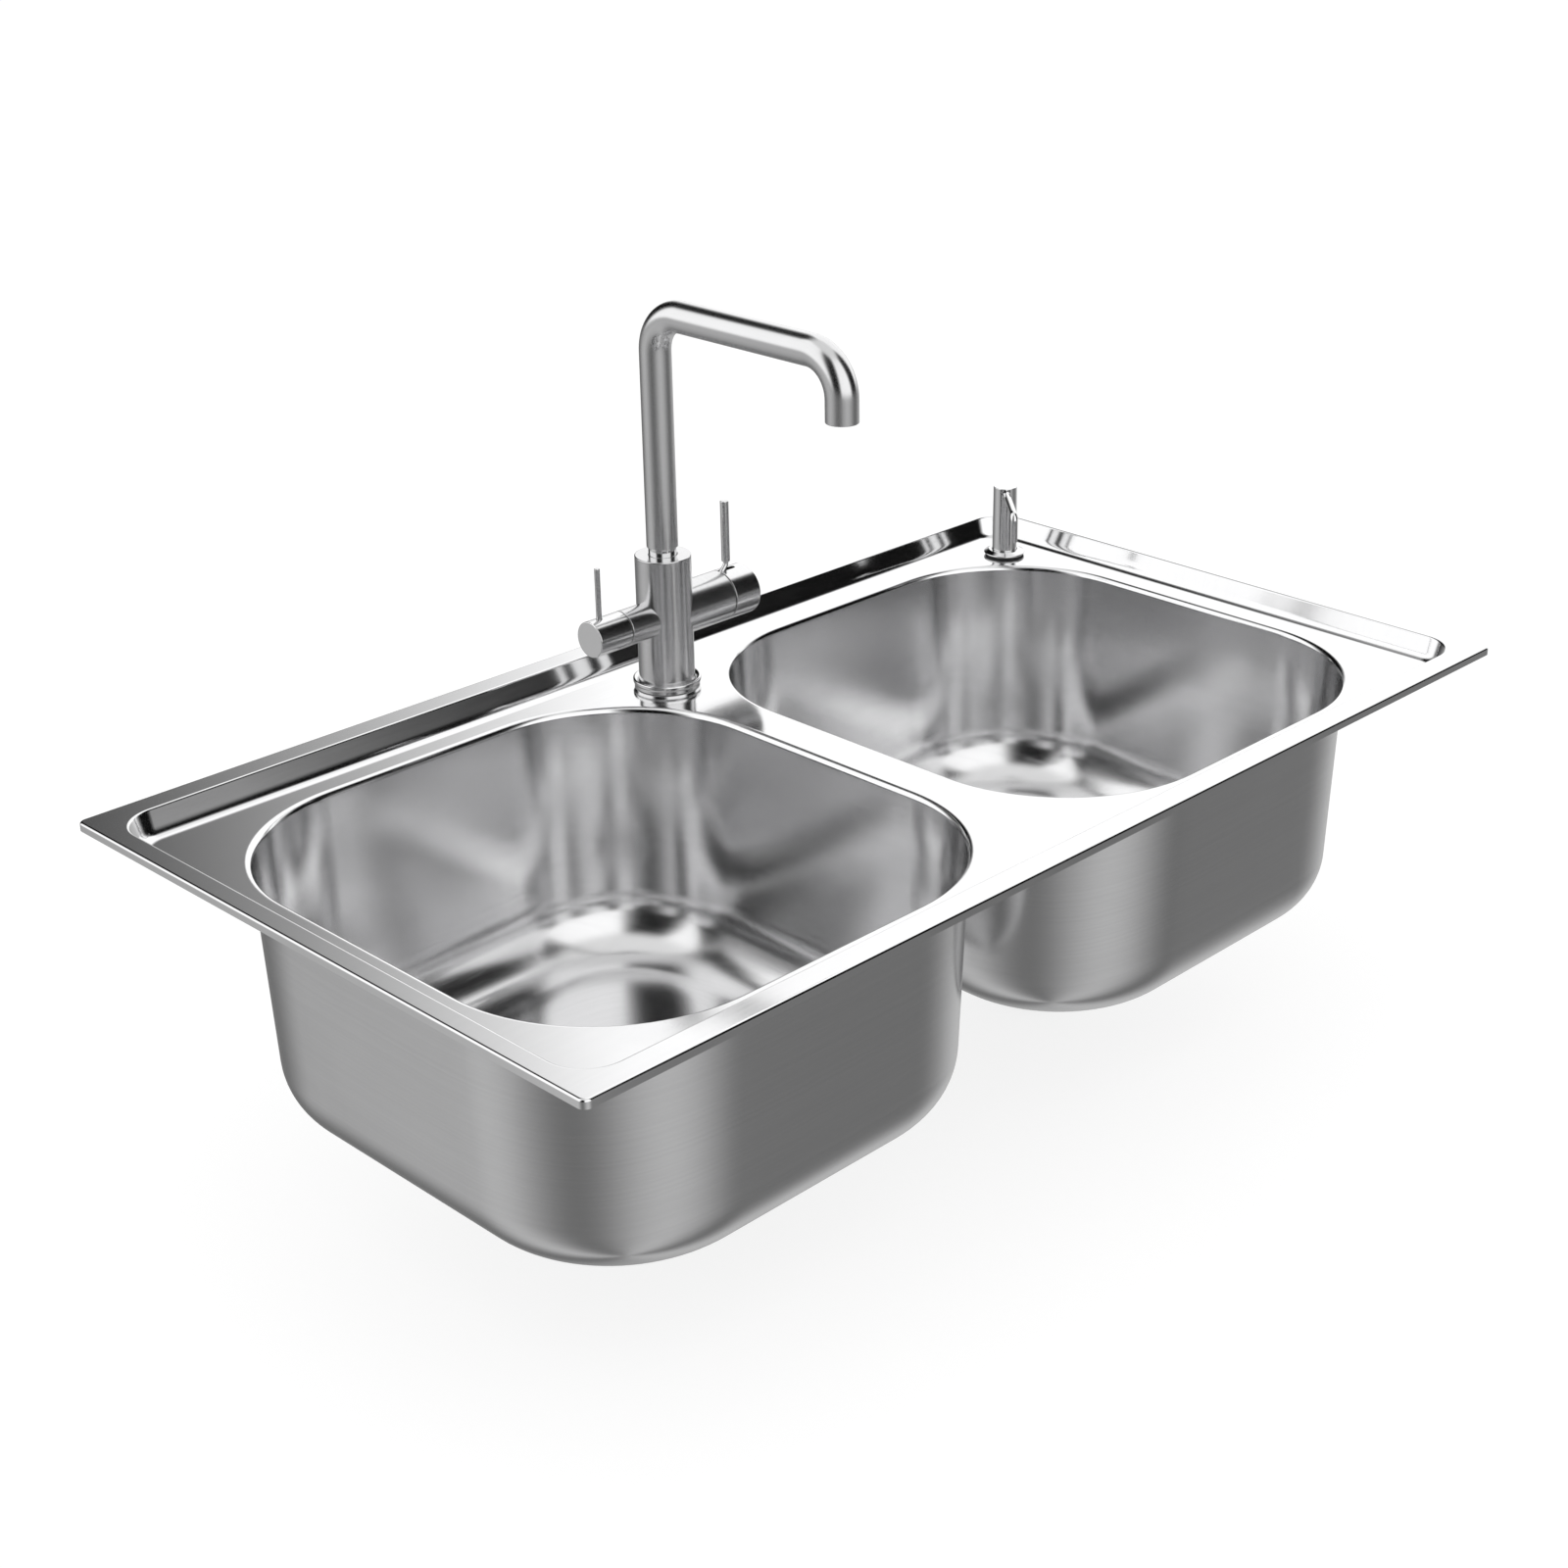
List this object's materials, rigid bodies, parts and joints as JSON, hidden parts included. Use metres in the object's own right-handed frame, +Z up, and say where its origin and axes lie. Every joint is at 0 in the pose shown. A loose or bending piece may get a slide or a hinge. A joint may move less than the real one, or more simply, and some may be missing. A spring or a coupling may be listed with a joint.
{
  "type": "double bowl kitchen sink",
  "caption": "Drop-in stainless steel kitchen sink: twin deep bowls in a recessed deck, three-way tap with a square swivel spout, filtered-water lever and a pump soap dispenser.",
  "frame": {"origin": "on the worktop's top plane, under the centre of the rim", "axes": "+X to the right along the sink, +Y to the back where the tap stands, +Z up"},
  "size_m": [0.8, 0.45, 0.5185],
  "materials": {
    "polished_steel": "polished stainless steel",
    "satin_steel": "satin stainless steel, brushed",
    "brushed_steel": "finely brushed stainless steel",
    "brass": "turned, unplated",
    "zinc_plate": "zinc plated steel",
    "black_rubber": "matt black",
    "grey_plastic": "grey polypropylene",
    "white_plastic": "natural white plastic"
  },
  "bodies": {
    "sink": {"sink_deck": "polished_steel", "left_bowl": "satin_steel", "right_bowl": "satin_steel", "rim_seal": "black_rubber", "tap_base_seal": "black_rubber", "tap_base_flange": "polished_steel", "tap_body": "brushed_steel", "mixer_cartridge": "white_plastic", "mixer_ring_nut": "brass", "filter_cartridge": "brass", "tap_shank": "brass", "tap_washer": "black_rubber", "tap_clamp_plate": "zinc_plate", "tap_nut": "brass", "cold_inlet": "brass", "hot_inlet": "brass", "filter_inlet": "brass", "dispenser_seal": "black_rubber", "dispenser_collar": "polished_steel", "pump_spring": "polished_steel", "pump_barrel": "white_plastic", "dispenser_washer": "black_rubber", "dispenser_nut": "grey_plastic", "soap_bottle": "white_plastic", "dip_tube": "white_plastic", "left_strainer_body": "polished_steel", "left_strainer_washer": "black_rubber", "left_strainer_locknut": "zinc_plate", "left_tailpiece": "grey_plastic", "left_tailpiece_nut": "grey_plastic", "right_strainer_body": "polished_steel", "right_strainer_washer": "black_rubber", "right_strainer_locknut": "zinc_plate", "right_tailpiece": "grey_plastic", "right_tailpiece_nut": "grey_plastic"},
    "spout": {"spout_stem": "polished_steel", "spout_lower_oring": "black_rubber", "spout_upper_oring": "black_rubber", "spout_tube": "brushed_steel", "aerator": "polished_steel"},
    "mixer_turner": {"mixer_cap": "brushed_steel"},
    "mixer_handle": {"mixer_lever": "brushed_steel"},
    "filter_handle": {"filter_spindle": "brass", "filter_cap": "brushed_steel", "filter_lever": "brushed_steel"},
    "left_basket_set": {"left_basket": "polished_steel", "left_basket_knob": "polished_steel", "left_basket_stopper": "black_rubber"},
    "right_basket_set": {"right_basket": "polished_steel", "right_basket_knob": "polished_steel", "right_basket_stopper": "black_rubber"},
    "dispenser_plunger": {"pump_stem": "white_plastic"},
    "dispenser_head": {"press_head": "brushed_steel", "head_spout": "brushed_steel"}
  },
  "joints": [
    {"name": "spout_swivel", "type": "hinge", "parent": "sink", "child": "spout", "pos_m": [0, 0.1613, 0.09], "axis": [0, 0, 1], "continuous": true},
    {"name": "mixer_temperature", "type": "hinge", "parent": "sink", "child": "mixer_turner", "pos_m": [0.06, 0.1613, 0.0391], "axis": [1, 0, 0], "range_deg": [-45, 45]},
    {"name": "mixer_flow", "type": "hinge", "parent": "mixer_turner", "child": "mixer_handle", "pos_m": [0.0516, 0.1613, 0.0391], "axis": [0, 1, 0], "range_deg": [0, 18]},
    {"name": "filter_turn", "type": "hinge", "parent": "sink", "child": "filter_handle", "pos_m": [-0.05, 0.1613, 0.0391], "axis": [1, 0, 0], "range_deg": [0, 90]},
    {"name": "left_basket_lift", "type": "slide", "parent": "sink", "child": "left_basket_set", "axis": [0, 0, 1], "range_m": [0, 0.08]},
    {"name": "right_basket_lift", "type": "slide", "parent": "sink", "child": "right_basket_set", "axis": [0, 0, 1], "range_m": [0, 0.08]},
    {"name": "dispenser_press", "type": "slide", "parent": "sink", "child": "dispenser_plunger", "axis": [0, 0, -1], "range_m": [0, 0.01], "stiffness_N_per_m": 300, "springref_m": -0.012, "deforming": ["pump_spring"]},
    {"name": "dispenser_swivel", "type": "hinge", "parent": "dispenser_plunger", "child": "dispenser_head", "pos_m": [0.3515, 0.169, 0], "axis": [0, 0, 1], "continuous": true}
  ]
}
